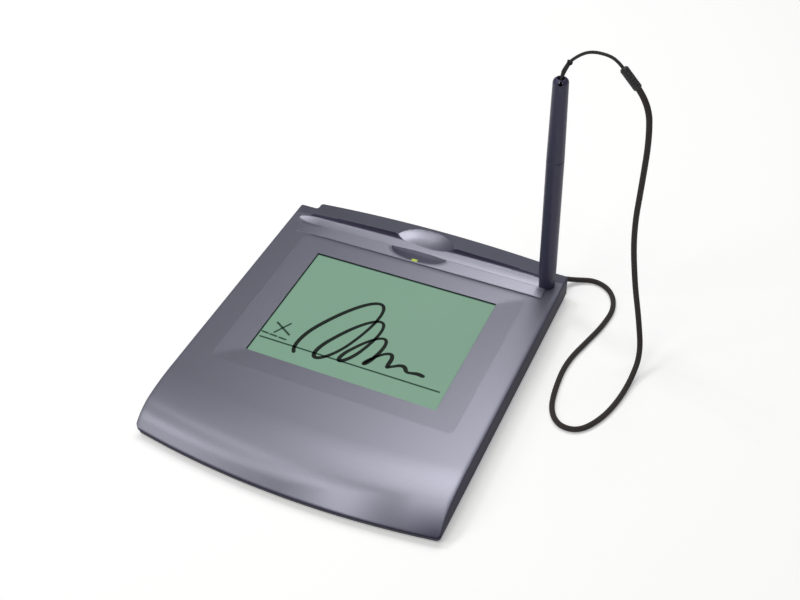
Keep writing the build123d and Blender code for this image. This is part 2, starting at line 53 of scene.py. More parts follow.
TOP_DARK, TOP_LIGHT, TOP_CLOUD = (0.247, 0.248, 0.316), (0.325, 0.326, 0.408), (0.291, 0.307, 0.392)
TOP_METAL, TOP_ROUGH, TOP_UNEVEN, TOP_GLOSS = 0.85, 0.38, 0.03, 0.03
# Dark colour of the walls, also the colour of the painted shade on the top
WALL_AND_SHADE_COLOUR = (0.036, 0.031, 0.064)
PEN_COLOUR = (0.055, 0.050, 0.100)
GREEN_DARK, GREEN_LIGHT, GREEN_LINES = (0.238, 0.416, 0.310), (0.256, 0.444, 0.331), (0.242, 0.421, 0.314)
DOT_PITCH, DOT_GAP = 0.3175, 0.09  # millimetres, and the share between two dots
LAMP_DARK, LAMP_LIGHT, LAMP_GLOW = (0.44, 0.57, 0.07), (0.56, 0.69, 0.11), 0.12
FLOOR_COLOUR, FLOOR_LIFT = (0.86, 0.86, 0.87), 0.30
GRAIN_BUMP, UNEVEN, BROADER = 0.35, 0.12, 14  # of any surface: bump, uneven gloss, mottling

# ---- sizes of the cover, in millimetres

HALF, FRONT, REAR = 77.8, -88.9, 88.9  # half the width, front and rear ends
TOP, DECK, SEAM, UNDER = 14.8, 15.6, 3.8, 12.8  # top, deck, lower edge, underside of the top
FRONT_BOW = 6.6
FRONT_RADIUS = (HALF ** 2 + FRONT_BOW ** 2) / (2 * FRONT_BOW)
FRONT_CENTRE = FRONT + FRONT_RADIUS
FRONT_ARCS = ((4.8, 50.0), (26.0, 30.6), (110.0, 9.4))  # radius and degrees, from the nose up to the top
NOSE_HEIGHT = 3.91
RAIL_HALF, RAIL_FRONT, RAIL_TOP, RAIL_CROWN, RAIL_BOW = 67.5, 77.0, 17.2, 2.2, 1.0
SHOULDER = 83.5
DECK_FRONT, DECK_LEFT, DECK_RIGHT, DECK_FADE, DECK_EDGE = 62.3, -70.0, 70.2, 12, 0.5
PEN, HOLE = (69.6, 73.4), 4.09
VIEW = (-50.8, 50.8, -24.4, 51.8)  # the display's opening
MOUTH, MOUTH_BEND, RIM = (-63.9, 63.9, -35.7, 60.1), 8, 13.4
TRAY_AXIS, TRAY_LEFT, TRAY_RADIUS, TRAY_BOW, TRAY_SPAN = 18.7, -73.6, 4.9, 0.8, 70
TIP_START, TIP_RUN, TIP_RADIUS = -61.6, 12, 72.5  # the tray's left end, where it narrows
SCOOP_HALF, SCOOP_REACH, SCOOP_SINK, SCOOP_Y = 17.4, 12.0, 3.1, 74.6
SCOOP_BEND, SCOOP_DEEP, SCOOP_TAPER = 2.5, 0.42, 0.2
LIGHT_HOLE, LIGHT_FLOOR = (-1.55, 1.55, 63.0, 65.0), 14.0
PORT, PORT_DEPTH = (-24.1, -15.9, 6.4, 10.8), 2.0
EDGE, EDGE_ANGLES = 0.5, [math.radians(a) for a in (90, 68, 45, 22, 0)]

# The mesh: overlap of forms, width of a crease, lengths of pieces
SLACK, CREASE, ARC_STEP, RUN_STEP, KEEP_OFF = 0.01, 0.03, 0.35, 1.2, 0.3
TRAY_CUT_FRONT, TRAY_CUT_REAR = 16.4, 17.2  # where the scoop cuts the tray's edges
LEDGE_START = 61.8
FRONT_ROWS = (0.75, 1.05, 1.4, 1.8, 2.3, 2.9, 3.6, 4.4, 5.4, 6.6, 8.0, 9.6, 11.4, 13.4, 15.6, 18, 21, 25, 29, 32.5)
DECK_ROWS = (0.03, 0.08, 0.15, 0.24, 0.36, 0.5, 0.66, 0.85)

# The shading normals: slopes added, and the steepest slope kept
SLOPE_STEP, SHADE_DEPTH = 0.004, 0.28
DECK_TILT, DECK_TILT_RUN, RAIL_TILT, TRAY_TILT, TRAY_TILT_RUN = 0.14, 20, -0.18, 0.24, (-0.9, 0.5)
NOSE_WIDTH, NOSE_SLOPE, NOSE_EASE, NOSE_RUN, NOSE_BEND = 30, 0.72, 0.54, 62, 1.2
BOWL_SLOPE, BOWL_EASE = 0.42, 0.19

# Painted shade on the top: how far its colour darkens towards that of the walls, and over what width
LIP_DEPTH, LIP_BEND = 0.5, 1.5
# RIGHT: painted fading of the nose's highlight towards its right end
RIGHT_DARK, RIGHT_WIDTH, RIGHT_RUN, RIGHT_BEND = 0.85, 12, 75, 2.2
SIDE_FADE, SIDE_DARK_RIGHT, SIDE_DARK_LEFT = 2.4, 0.7, 0.4
EDGE_DARK_LEAST = 0.25
STEEP_START, STEEP_SHIFT, STEEP_WIDTH, STEEP_DARK = 0.56, 0.08, 0.10, 0.92
TRAY_LIP_AT, TRAY_LIP_WIDTH, TRAY_LIP_DARK, TRAY_LIP_RUN = 0.15, 0.5, 0.55, 90
CRESCENT_DARK, CRESCENT_EASE = 0.66, 0.010
BOWL_DARK, BOWL_MIDDLE, BOWL_RIGHT, BOWL_REAR = 0.88, 0.27, 0.85, 0.6
RAIL_DARK, RAIL_DARKER, RAIL_DARK_RUN = 0.02, 0.32, (-60, 30)
LEDGE_DARK = 0.85
# PEN: painted shadow and reflection of the pen beside its hole
PEN_DARK, PEN_DARK_START, PEN_DARK_WIDTH, PEN_DARK_LEFT, PEN_DARK_SHIFT = 0.55, 3, 8, 66, 1.5
FOOT_DARK, FOOT_WIDTH, FOOT_BEND, FOOT_BACK, FOOT_BACK_WIDTH = 0.5, 1.6, 1.6, 0.15, 0.25

# ---- camera

CAMERA_PLACE, CAMERA_ANGLES = (0.1928171, -0.3333918, 0.4115446), (46.1019, 2.1917, 24.9016)


def link(obj):
    scene.collection.objects.link(obj)
    return obj


camera = link(bpy.data.objects.new("camera", bpy.data.cameras.new("camera")))
camera.data.sensor_width = 36.0
camera.data.lens = 50.943
angles = Euler([math.radians(a) for a in CAMERA_ANGLES])
camera.matrix_world = Matrix.LocRotScale(Vector(CAMERA_PLACE), angles, None)
scene.camera = camera


# ---- materials

class Finish:
    """A material while its nodes are joined."""

    def __init__(self, name):
        self.material = bpy.data.materials.new(name)
        self.material.use_nodes = True
        self.tree = self.material.node_tree
        self.shader = self.tree.nodes["Principled BSDF"]

    def add(self, kind, **settings):
        node = self.tree.nodes.new(kind)
        for key, value in settings.items():
            if key in node.inputs:
                node.inputs[key].default_value = value
            else:
                setattr(node, key, value)
        return node

    def feed(self, socket, term):
        """Joins another node's socket to a socket, or gives it a plain value or colour."""
        if isinstance(term, bpy.types.NodeSocket):
            self.tree.links.new(term, socket)
        else:
            socket.default_value = (*term, 1.0) if socket.type == "RGBA" else term

    def shade(self, terms):
        """Feeds the shader and gives the finished material."""
        for name, term in terms.items():
            self.feed(self.shader.inputs[name], term)
        return self.material

    def place(self, stretch=(1, 1, 1)):
        """Where a point lies on its piece."""
        mapping = self.add("ShaderNodeMapping", Scale=stretch)
        self.feed(mapping.inputs["Vector"], self.add("ShaderNodeTexCoord").outputs["Object"])
        return mapping.outputs["Vector"]

    def noise(self, place, scale, detail=2.0):
        node = self.add("ShaderNodeTexNoise", Scale=scale, Detail=detail)
        self.feed(node.inputs["Vector"], place)
        return node.outputs["Fac"]

    def spread(self, value, low, high, start=0.25, end=0.75):
        """Maps a value's run from start to end onto low to high. Noise runs from about 0.25 to 0.75."""
        node = self.add("ShaderNodeMapRange")
        terms = {"Value": value, "From Min": start, "From Max": end, "To Min": low, "To Max": high}
        for name, term in terms.items():
            self.feed(node.inputs[name], term)
        return node.outputs["Result"]

    def blend(self, factor, low, high):
        node = self.add("ShaderNodeMix", data_type="RGBA")
        self.feed(node.inputs["Factor"], factor)
        self.feed(node.inputs[6], low)
        self.feed(node.inputs[7], high)
        return node.outputs[2]

    def maths(self, operation, *terms):
        node = self.add("ShaderNodeMath", operation=operation)
        for socket, term in zip(node.inputs, terms):
            self.feed(socket, term)
        return node.outputs[0]

    def axes(self, vector):
        node = self.add("ShaderNodeSeparateXYZ")
        self.feed(node.inputs["Vector"], vector)
        return node.outputs

    def bump(self, height, strength, depth):
        """A bump whose depth is in millimetres."""
        node = self.add("ShaderNodeBump", Strength=strength, Distance=depth * MM)
        self.feed(node.inputs["Height"], height)
        return node.outputs["Normal"]


def surface(name, colour, rough, metal=0.0, grain=900.0, depth=0.02, vary=0.08, stretch=(1, 1, 1), level=0.5):
    """A plastic, rubber or metal with mottled colour, uneven roughness and a fine grain."""
    n = Finish(name)
    place = n.place(stretch)
    fine = n.noise(place, grain, 3.0)
    broad = n.noise(place, grain / BROADER, 3.0)
    low, high = ([min(1.0, c * share) for c in colour] for share in (1 - vary, 1 + vary))
    return n.shade({
        "Base Color": n.blend(n.spread(broad, 0.0, 1.0), low, high),
        "Roughness": n.spread(fine, rough * (1 - UNEVEN), min(1.0, rough * (1 + UNEVEN))),
        "Normal": n.bump(fine, GRAIN_BUMP, depth),
        "Metallic": metal,
        "Specular IOR Level": level,
    })


def cover_paint():
    """Metallic paint. A point attribute turns it into the walls' plain dark finish, and on the top the same
    darkening is painted shade.
    """
    n = Finish("cover_paint")
    place = n.place()
    flake = n.noise(place, 5200.0)
    cloud = n.noise(place, 14.0, 3.0)
    top = n.blend(n.spread(flake, 0.0, 1.0), TOP_DARK, TOP_LIGHT)
    cloudy = n.blend(n.spread(cloud, 0.0, 0.10), top, TOP_CLOUD)
    wall = n.add("ShaderNodeAttribute", attribute_name="wall").outputs["Fac"]
    return n.shade({
        "Base Color": n.blend(wall, cloudy, WALL_AND_SHADE_COLOUR),
        "Metallic": n.spread(wall, TOP_METAL, 0.0, 0.0, 1.0),
        "Roughness": n.spread(flake, TOP_ROUGH - TOP_UNEVEN, TOP_ROUGH + TOP_UNEVEN),
        "Normal": n.bump(flake, 0.10, 0.01),
        "Specular IOR Level": TOP_GLOSS,
    })


def display_green():
    """The reflective display: green with its fine grid of dots."""
    n = Finish("display_green")
    place = n.place()
    base = n.blend(n.spread(n.noise(place, 22.0), 0.0, 1.0), GREEN_DARK, GREEN_LIGHT)
    axes = n.axes(place)
    gaps = []
    for axis in "XY":
        dots = n.maths("MULTIPLY", axes[axis], 1 / (DOT_PITCH * MM))
        gaps.append(n.maths("LESS_THAN", n.maths("FRACT", dots), DOT_GAP))
    return n.shade({
        "Base Color": n.blend(n.maths("MAXIMUM", *gaps), base, GREEN_LINES),
        "Roughness": 0.45,
        "Specular IOR Level": 0.3,
    })


def light_glow():
    """The translucent light in the deck."""
    n = Finish("light_glow")
    colour = n.blend(n.spread(n.noise(n.place(), 700.0), 0.0, 1.0), LAMP_DARK, LAMP_LIGHT)
    return n.shade({
        "Base Color": colour,
        "Emission Color": colour,
        "Emission Strength": LAMP_GLOW,
        "Roughness": 0.3,
    })


def braid(name, colour, pitch, turns, depth, rough=0.85):
    """Threads that wind both ways round a cord. U goes once round, V counts metres along it."""
    n = Finish(name)
    axes = n.axes(n.add("ShaderNodeUVMap", uv_map="along").outputs["UV"])
    waves = []
    for way in (turns, -turns):
        around = n.maths("MULTIPLY", axes["X"], way * math.tau)
        waves.append(n.maths("SINE", n.maths("MULTIPLY_ADD", axes["Y"], math.tau / (pitch * MM), around)))
    threads = n.spread(n.maths("MULTIPLY", *waves), 0.0, 1.0, -1.0, 1.0)
    fuzz = n.noise(n.place(), 4000.0, 3.0)
    # The weave's valleys are darker and its ridges lighter: painted shade and highlight between the threads
    valleys, ridges, tips = ([c * share for c in colour] for share in (0.55, 1.5, 2.0))
    return n.shade({
        "Base Color": n.blend(n.spread(fuzz, 0.0, 0.35), n.blend(threads, valleys, ridges), tips),
        "Normal": n.bump(threads, 0.7, depth),
        "Roughness": rough,
        "Sheen Weight": 0.10,
        "Sheen Roughness": 0.5,
    })


def floor_paper():
    """Matte and pale, and lighter to the camera, in gloss and through glass, most of all far off."""
    n = Finish("floor_paper")
    rays = n.add("ShaderNodeLightPath").outputs
    seen = rays["Is Camera Ray"]
    for kind in ("Is Glossy Ray", "Is Transmission Ray"):
        seen = n.maths("MAXIMUM", seen, rays[kind])
    away = n.add("ShaderNodeVectorMath", operation="LENGTH")
    n.feed(away.inputs[0], n.place())
    level = n.spread(away.outputs["Value"], FLOOR_LIFT, 1.0, 0.5, 2.0)
    return n.shade({
        "Base Color": FLOOR_COLOUR,
        "Roughness": 0.95,
        "Specular IOR Level": 0.0,
        "Emission Color": (1.0, 1.0, 1.0),
        "Emission Strength": n.maths("MULTIPLY", seen, level),
    })


def mesh_object(name, verts, faces, material):
    """A mesh from millimetre points."""
    mesh = bpy.data.meshes.new(name)
    mesh.from_pydata([[c * MM for c in v] for v in verts], [], faces)
    mesh.update()
    mesh.materials.append(material)
    return link(bpy.data.objects.new(name, mesh))


# ---- the cover's form

def ramp(value, start, end):
    """Rises from 0 to 1 while the value runs from start to end."""
    return np.clip((value - start) / (end - start), 0, 1)


def fade(away, width):
    """Falls from 1 to 0 over a width."""
    return np.clip(1 - away / width, 0, 1)


def front_inside(x, y):
    """How far inside the front edge a point lies."""
    return FRONT_RADIUS - np.hypot(x, y - FRONT_CENTRE)


def front_line(x, inside=0.0):
    """Where the front edge runs, or a line a distance inside it."""
    return FRONT_CENTRE - math.sqrt((FRONT_RADIUS - inside) ** 2 - x * x)


def rear_line(x):
    radius = (RAIL_HALF ** 2 + RAIL_BOW ** 2) / (2 * RAIL_BOW)
    return REAR - x * x / (2 * radius)


def front_height(inside):
    """Height of the sloping front, which is made of arcs that follow each other smoothly."""
    height = np.full(inside.shape, TOP)
    z, start, turned = NOSE_HEIGHT, 0.0, 0.0
    height[inside <= 0] = z
    for radius, turn in FRONT_ARCS:
        a0, a1 = math.radians(turned), math.radians(turned + turn)
        end = start + radius * (math.cos(a0) - math.cos(a1))
        here = (inside > start) & (inside <= end)
        c = np.clip(math.cos(a0) - (inside[here] - start) / radius, 0, 1)
        height[here] = z + radius * (np.sqrt(1 - c * c) - math.sin(a0))
        z += radius * (math.sin(a1) - math.sin(a0))
        start, turned = end, turned + turn
    return height


def rail_height(x):
    radius = (RAIL_HALF ** 2 + RAIL_CROWN ** 2) / (2 * RAIL_CROWN)
    return RAIL_TOP - radius + np.sqrt(radius ** 2 - x ** 2)


def deck_rise(x):
    """How far the deck stands above the top: it fades out to the left."""
    return (DECK - TOP) * ramp(x, DECK_LEFT, DECK_LEFT + DECK_FADE)


def deck_height(x, y):
    """The raised deck with its rounded front edge."""
    rise = deck_rise(x)
    radius = np.minimum(DECK_EDGE, rise)
    step = np.clip(radius - (y - DECK_FRONT), 0, radius)
    return TOP + rise - radius + np.sqrt(radius ** 2 - step ** 2)


def tray_middle(x):
    """Where the tray's axis runs: it bows back a little between its ends."""
    return PEN[1] + TRAY_BOW * np.cos(math.pi * np.clip(x, -TRAY_SPAN, TRAY_SPAN) / (2 * TRAY_SPAN))


def tray_radius(x):
    run = np.clip(TIP_START - x, 0, TIP_RUN)
    return TRAY_RADIUS - TIP_RADIUS + np.sqrt(TIP_RADIUS ** 2 - run ** 2)


def tray_height(x, y):
    return TRAY_AXIS - np.sqrt(np.clip(tray_radius(x) ** 2 - (y - tray_middle(x)) ** 2, 0, None))


def tray_reach(x, level):
    """How far from the tray's axis its wall meets a level."""
    return np.sqrt(np.clip(tray_radius(x) ** 2 - (TRAY_AXIS - level) ** 2, 0, None))


def tray_front(x):
    return tray_reach(x, TOP + deck_rise(x))


def in_tray(x, y):
    return (x > TRAY_LEFT) & (x < PEN[0]) & (np.abs(y - tray_middle(x)) < tray_radius(x))


def scoop_half(y):
    """Half the scoop's width, which shrinks to the rear."""
    return SCOOP_HALF - SCOOP_TAPER * (y - PEN[1])


def scoop_share(x, y):
    """0 in the middle of the finger scoop, 1 at its rim."""
    return (np.abs(x) / scoop_half(y)) ** SCOOP_BEND + (np.abs(y - SCOOP_Y) / SCOOP_REACH) ** SCOOP_BEND


def scoop_floor(share):
    return RAIL_TOP - SCOOP_SINK * np.clip(1 - share, 0, None) ** SCOOP_DEEP


def mouth_share(x, y):
    """0 at the display's opening, 1 at the outer edge of the recess round it."""
    side = np.clip((np.abs(x) - VIEW[1]) / (MOUTH[1] - VIEW[1]), 0, 2)
    front, rear = (VIEW[2] - y) / (VIEW[2] - MOUTH[2]), (y - VIEW[3]) / (MOUTH[3] - VIEW[3])
    ends = np.clip(np.maximum(front, rear), 0, 2)
    return (side ** MOUTH_BEND + ends ** MOUTH_BEND) ** (1 / MOUTH_BEND)


def cover_height(x, y, depth=1.0):
    """The cover's top. depth scales the recess round the display."""
    z = front_height(front_inside(x, y))
    deck = (y > DECK_FRONT - SLACK) & (x > DECK_LEFT) & (x < DECK_RIGHT + SLACK) & (y < PEN[1])
    z = np.where(deck, np.maximum(z, deck_height(x, y)), z)
    rail = (y > RAIL_FRONT - SLACK) & (np.abs(x) < RAIL_HALF + SLACK)
    z = np.where(rail, np.maximum(z, rail_height(np.clip(x, -RAIL_HALF, RAIL_HALF))), z)
    share = mouth_share(x, y)
    recess = TOP - (TOP - RIM) * depth * (1 - np.clip(share, 0, 1))
    z = np.where(share < 1, np.minimum(z, recess), z)
    z = np.where(in_tray(x, y), np.minimum(z, tray_height(x, y)), z)
    out = scoop_share(x, y)
    return np.where(out < 1, np.minimum(z, scoop_floor(out)), z)


# ---- the cover's outlines and creases

def rounded(corners, step=0.8):
    """A dense closed outline from corners, each (x, y, radius, function that bends the run after it)."""
    count = len(corners)
    spots = [Vector(c[:2]) for c in corners]
    path = []
    for i, (*_, radius, bend) in enumerate(corners):
        here, before, after = spots[i], spots[i - 1], spots[(i + 1) % count]
        enter = (here - before).normalized()
        leave = (after - here).normalized()
        if bend:
            leave = (bend(0.01) - here).normalized()
        if corners[i - 1][3]:
            enter = (here - corners[i - 1][3](0.99)).normalized()
        turn = enter.angle_signed(leave) if radius else 0.0
        reach = radius * math.tan(abs(turn) / 2)
        side = 1 if turn < 0 else -1
        centre = here - enter * reach + Vector((-enter.y, enter.x)) * radius * side
        steps = max(3, int(abs(turn) * radius / ARC_STEP)) if radius else 0
        start = here - enter * reach - centre
        for k in range(steps + 1):
            spoke = start.copy()
            spoke.rotate(Matrix.Rotation(abs(turn) * side * k / max(1, steps), 2))
            path.append(centre + spoke if radius else here)
        next_reach = corners[(i + 1) % count][2] * 1.2
        pieces = max(1, int((after - here).length / step))
        for k in range(1, pieces):
            spot = bend(k / pieces) if bend else here.lerp(after, k / pieces)
            if (spot - here).length > reach + KEEP_OFF and (spot - after).length > next_reach + KEEP_OFF:
                path.append(spot)
    return [(p.x, p.y) for p in path]


def cover_outline():
    """Counter-clockwise from the front left corner."""
    def front_bend(t):
        x = -HALF + 2 * HALF * t
        return Vector((x, front_line(x)))

    def rear_bend(t):
        x = RAIL_HALF - 2 * RAIL_HALF * t
        return Vector((x, rear_line(x)))

    front_y, rear_y = front_line(HALF), rear_line(RAIL_HALF)
    return rounded([
        (-HALF, front_y, 2.0, front_bend),
        (HALF, front_y, 2.0, None),
        (HALF, SHOULDER, 1.2, None),
        (RAIL_HALF, SHOULDER, 1.5, None),
        (RAIL_HALF, rear_y, 1.5, rear_bend),
        (-RAIL_HALF, rear_y, 1.5, None),
        (-RAIL_HALF, SHOULDER, 1.5, None),
        (-HALF, SHOULDER, 1.2, None),
    ])


def box_outline(box, radius, step=RUN_STEP, grow=0.0):
    x0, x1, y0, y1 = box[0] - grow, box[1] + grow, box[2] - grow, box[3] + grow
    return rounded([(x, y, radius, None) for x, y in ((x0, y0), (x1, y0), (x1, y1), (x0, y1))], step)


def mouth_outline():
    """The recess's outer edge: a box whose corners are round."""
    loop = []
    for side, end in ((1, 2), (1, 3), (-1, 3), (-1, 2)):
        corner = (side * VIEW[1], VIEW[end])
        reach = (side * (MOUTH[1] - VIEW[1]), MOUTH[end] - VIEW[end])
        turns = np.linspace(0, math.pi / 2, 41)
        for turn in turns if (side, end) in ((1, 3), (-1, 2)) else turns[::-1]:
            c, s = math.cos(turn), math.sin(turn)
            far = (c ** MOUTH_BEND + s ** MOUTH_BEND) ** (-1 / MOUTH_BEND)
            loop.append((corner[0] + reach[0] * c * far, corner[1] + reach[1] * s * far))
    dense = []
    for (x0, y0), (x1, y1) in zip(loop, loop[1:] + loop[:1]):
        parts = max(1, int(math.hypot(x1 - x0, y1 - y0) / RUN_STEP))
        dense += [(x0 + (x1 - x0) * k / parts, y0 + (y1 - y0) * k / parts) for k in range(parts)]
    return dense


def ring(centre, radius, count):
    turns = [math.tau * k / count for k in range(count)]
    return [(centre[0] + radius * math.cos(a), centre[1] + radius * math.sin(a)) for a in turns]


def outward(loop):
    """The outward normal at each point of a counter-clockwise loop."""
    p = np.array(loop)
    run = np.roll(p, -1, 0) - np.roll(p, 1, 0)
    normal = np.stack([run[:, 1], -run[:, 0]], 1)
    return normal / np.linalg.norm(normal, axis=1)[:, None]


def inside_loop(points, loop):
    """Which points lie inside a closed loop."""
    x, y = points[:, 0], points[:, 1]
    inside = np.zeros(len(points), bool)
    for (x0, y0), (x1, y1) in zip(loop, loop[1:] + loop[:1]):
        if y0 != y1:
            inside ^= ((y0 > y) != (y1 > y)) & (x < (x1 - x0) * (y - y0) / (y1 - y0) + x0)
    return inside


def crease_lines():
    """Open lines where two faces of the cover meet."""
    span = np.arange(DECK_LEFT, DECK_RIGHT + SLACK, 0.7)
    lines = [[(x, y) for x in span] for y in (DECK_FRONT - CREASE, DECK_FRONT)]
    span = np.linspace(DECK_FRONT, PEN[1] - HOLE, 13)
    lines += [[(x, y) for y in span] for x in (DECK_RIGHT, DECK_RIGHT + CREASE)]
    xs = np.arange(TRAY_LEFT, PEN[0] - 2.0, 0.5)
    behind = np.where(np.abs(xs) < RAIL_HALF, rail_height(np.clip(xs, -RAIL_HALF, RAIL_HALF)), TOP)
    half = tray_reach(xs, behind)
    half = np.where(half < RAIL_FRONT - tray_middle(xs), tray_reach(xs, TOP), half)
    for away, cut in ((-tray_front(xs), TRAY_CUT_FRONT), (half, TRAY_CUT_REAR)):
        lines += [list(zip(xs[keep], (tray_middle(xs) + away)[keep])) for keep in (xs < -cut, xs > cut)]
    span = np.arange(RAIL_FRONT, SHOULDER - 1.5, 0.6)
    lines += [[(side * x, y) for y in span] for side in (-1, 1) for x in (RAIL_HALF, RAIL_HALF + CREASE)]
    span = np.arange(LEDGE_START, RAIL_HALF + SLACK, 0.6)
    lines += [[(side * x, y) for x in span] for y in (RAIL_FRONT - CREASE, RAIL_FRONT) for side in (-1, 1)]
    for side in (-1, 1):
        edge = []
        for turn in np.linspace(0, math.pi, 90):
            c = math.cos(turn)
            z = DECK if side < 0 else float(rail_height(np.array(SCOOP_HALF * c)))
            left = 1 - ((RAIL_TOP - z) / SCOOP_SINK) ** (1 / SCOOP_DEEP) - abs(c) ** SCOOP_BEND
            if left > 0:
                y = SCOOP_Y + side * SCOOP_REACH * left ** (1 / SCOOP_BEND)
                edge.append((scoop_half(y) * c, y))
        lines.append(edge)
    return lines


def scoop_tray_lines():
    """Where the scoop and the tray meet, found along rows across the tray."""
    front, back = [], []
    for x in np.arange(-19.0, 19.01, 0.5):
        ys = tray_middle(x) + np.linspace(-4.88, 4.88, 800)
        out = scoop_share(x, ys)
        lower = np.where(out < 1, scoop_floor(out), 99) < tray_height(x, ys)
        tray_only = np.nonzero(~lower)[0]
        if len(tray_only):
            if tray_only[0] > 0:
                front.append((x, ys[tray_only[0]]))
            if tray_only[-1] < len(ys) - 1:
                back.append((x, ys[tray_only[-1]]))
    return [front, back]


def guide_rows(outline, normal):
    """Rows of points beside edges and creases, where the shading changes fast."""
    rows = [box_outline(VIEW, 0.5, grow=0.4)]
    rows += [[tuple(q) for q in outline[::2] - normal[::2] * d] for d in (0.8, 1.2, 1.8, 2.6)]
    span = np.arange(DECK_LEFT, DECK_RIGHT, 0.8)
    rows += [[(x, DECK_FRONT - d) for x in span] for d in (0.25, 0.55, 0.95, 1.6)]
    xs = np.arange(TRAY_LEFT + 0.6, PEN[0] - 3.0, 0.5)
    rows += [list(zip(xs, tray_middle(xs) - tray_front(xs) + d)) for d in (0.3, 0.65)]
    rows += [list(zip(xs, tray_middle(xs) + tray_radius(xs) * d)) for d in (0.56, 0.61, 0.66, 0.72)]
    return rows


def fill_points(loops):
    """Points between the edges: rows along the sloping front, a fine grid at the rear, a wide one elsewhere."""
    spots = [(x, front_line(x, d)) for d in FRONT_ROWS for x in np.arange(-HALF + 1, HALF, 1.3)]
    for y in np.arange(-54.0, DECK_FRONT - 1, 2.0):
        spots += [(x, y) for x in np.arange(-HALF + 1.4, HALF, 2.0)]
    for y in DECK_ROWS:
        spots += [(x, DECK_FRONT + y) for x in np.arange(DECK_LEFT + 0.4, DECK_RIGHT, 0.7)]
    for y in np.arange(DECK_FRONT + 1.0, REAR, 0.45):
        spots += [(x, y) for x in np.arange(-HALF + 0.9, HALF - 0.5, 0.45 if y > 66 else 0.8)]
    taken = [spot for loop in loops for spot in loop]
    tree = KDTree(len(taken))
    for index, (x, y) in enumerate(taken):
        tree.insert((x, y, 0), index)
    tree.balance()
    return [s for s in spots if tree.find((s[0], s[1], 0))[2] > 0.22]


def top_triangles(edge, holes, guides):
    """Flat points and triangles of the top, inside its edge and outside its holes."""
    closed = [edge, mouth_outline(), *holes]
    lines = [line for line in crease_lines() + scoop_tray_lines() if len(line) > 1]
    spots, links = [], []
    for loops, gap in ((closed, 0), (lines, 1)):  # an open line has no link from its end to its start
        for loop in loops:
            base, size = len(spots), len(loop)
            spots += loop
            links += [(base + k, base + (k + 1) % size) for k in range(size - gap)]
    spots += fill_points(closed + lines + guides)
    spots += [s for loop in guides for s in loop]
    result = geometry.delaunay_2d_cdt([Vector(s) for s in spots], links, [], 0, 1e-5)
    flat = np.array([tuple(v) for v in result[0]])
    tris = np.array([f for f in result[2] if len(f) == 3])
    middle = flat[tris].mean(1)
    keep = inside_loop(middle, edge)
    for hole in holes:
        keep &= ~inside_loop(middle, hole)
    tris = tris[keep]
    a, b, c = (flat[tris[:, k]] for k in range(3))
    area = (b[:, 0] - a[:, 0]) * (c[:, 1] - a[:, 1]) - (b[:, 1] - a[:, 1]) * (c[:, 0] - a[:, 0])
    return flat, np.where(area[:, None] > 0, tris, tris[:, ::-1])


# ---- how the cover is shaded

def field_normals(x, y):
    """Shading normals of the top: its slopes, tipped or made gentler to guide the highlights."""
    step = SLOPE_STEP
    gx = (cover_height(x + step, y, SHADE_DEPTH) - cover_height(x - step, y, SHADE_DEPTH)) / (2 * step)
    gy = (cover_height(x, y + step, SHADE_DEPTH) - cover_height(x, y - step, SHADE_DEPTH)) / (2 * step)
    scoop, tray = scoop_share(x, y) < 1, in_tray(x, y)
    gy = np.where((y > RAIL_FRONT - 0.02) & ~scoop, gy + RAIL_TILT, gy)
    tilt = DECK_TILT * ramp(x, DECK_LEFT, DECK_LEFT + DECK_TILT_RUN)
    deck = (y > DECK_FRONT + DECK_EDGE) & (x > DECK_LEFT) & (x < DECK_RIGHT) & (y < PEN[1]) & ~tray & ~scoop
    gx, gy = np.where(deck, 0.0, gx), np.where(deck, gy + tilt, gy)
    across = (y - tray_middle(x)) / tray_radius(x)
    gy = np.where(tray & (across < TRAY_TILT_RUN[1]), tilt + TRAY_TILT * ramp(across, *TRAY_TILT_RUN), gy)
    far_left = np.clip((y - SCOOP_Y) / SCOOP_REACH - x / SCOOP_HALF, 0, 1)
    on_nose = NOSE_SLOPE - NOSE_EASE * ramp(x, 0, NOSE_RUN) ** NOSE_BEND
    steepest = np.where(front_inside(x, y) < NOSE_WIDTH, on_nose, np.inf)
    steepest = np.where(scoop & (y > tray_middle(x)), BOWL_SLOPE - BOWL_EASE * far_left, steepest)
    limit = np.minimum(1, steepest / np.maximum(np.hypot(gx, gy), 1e-6))
    normal = np.stack([-gx * limit, -gy * limit, np.ones_like(gx)], 1)
    return normal / np.linalg.norm(normal, axis=1)[:, None]


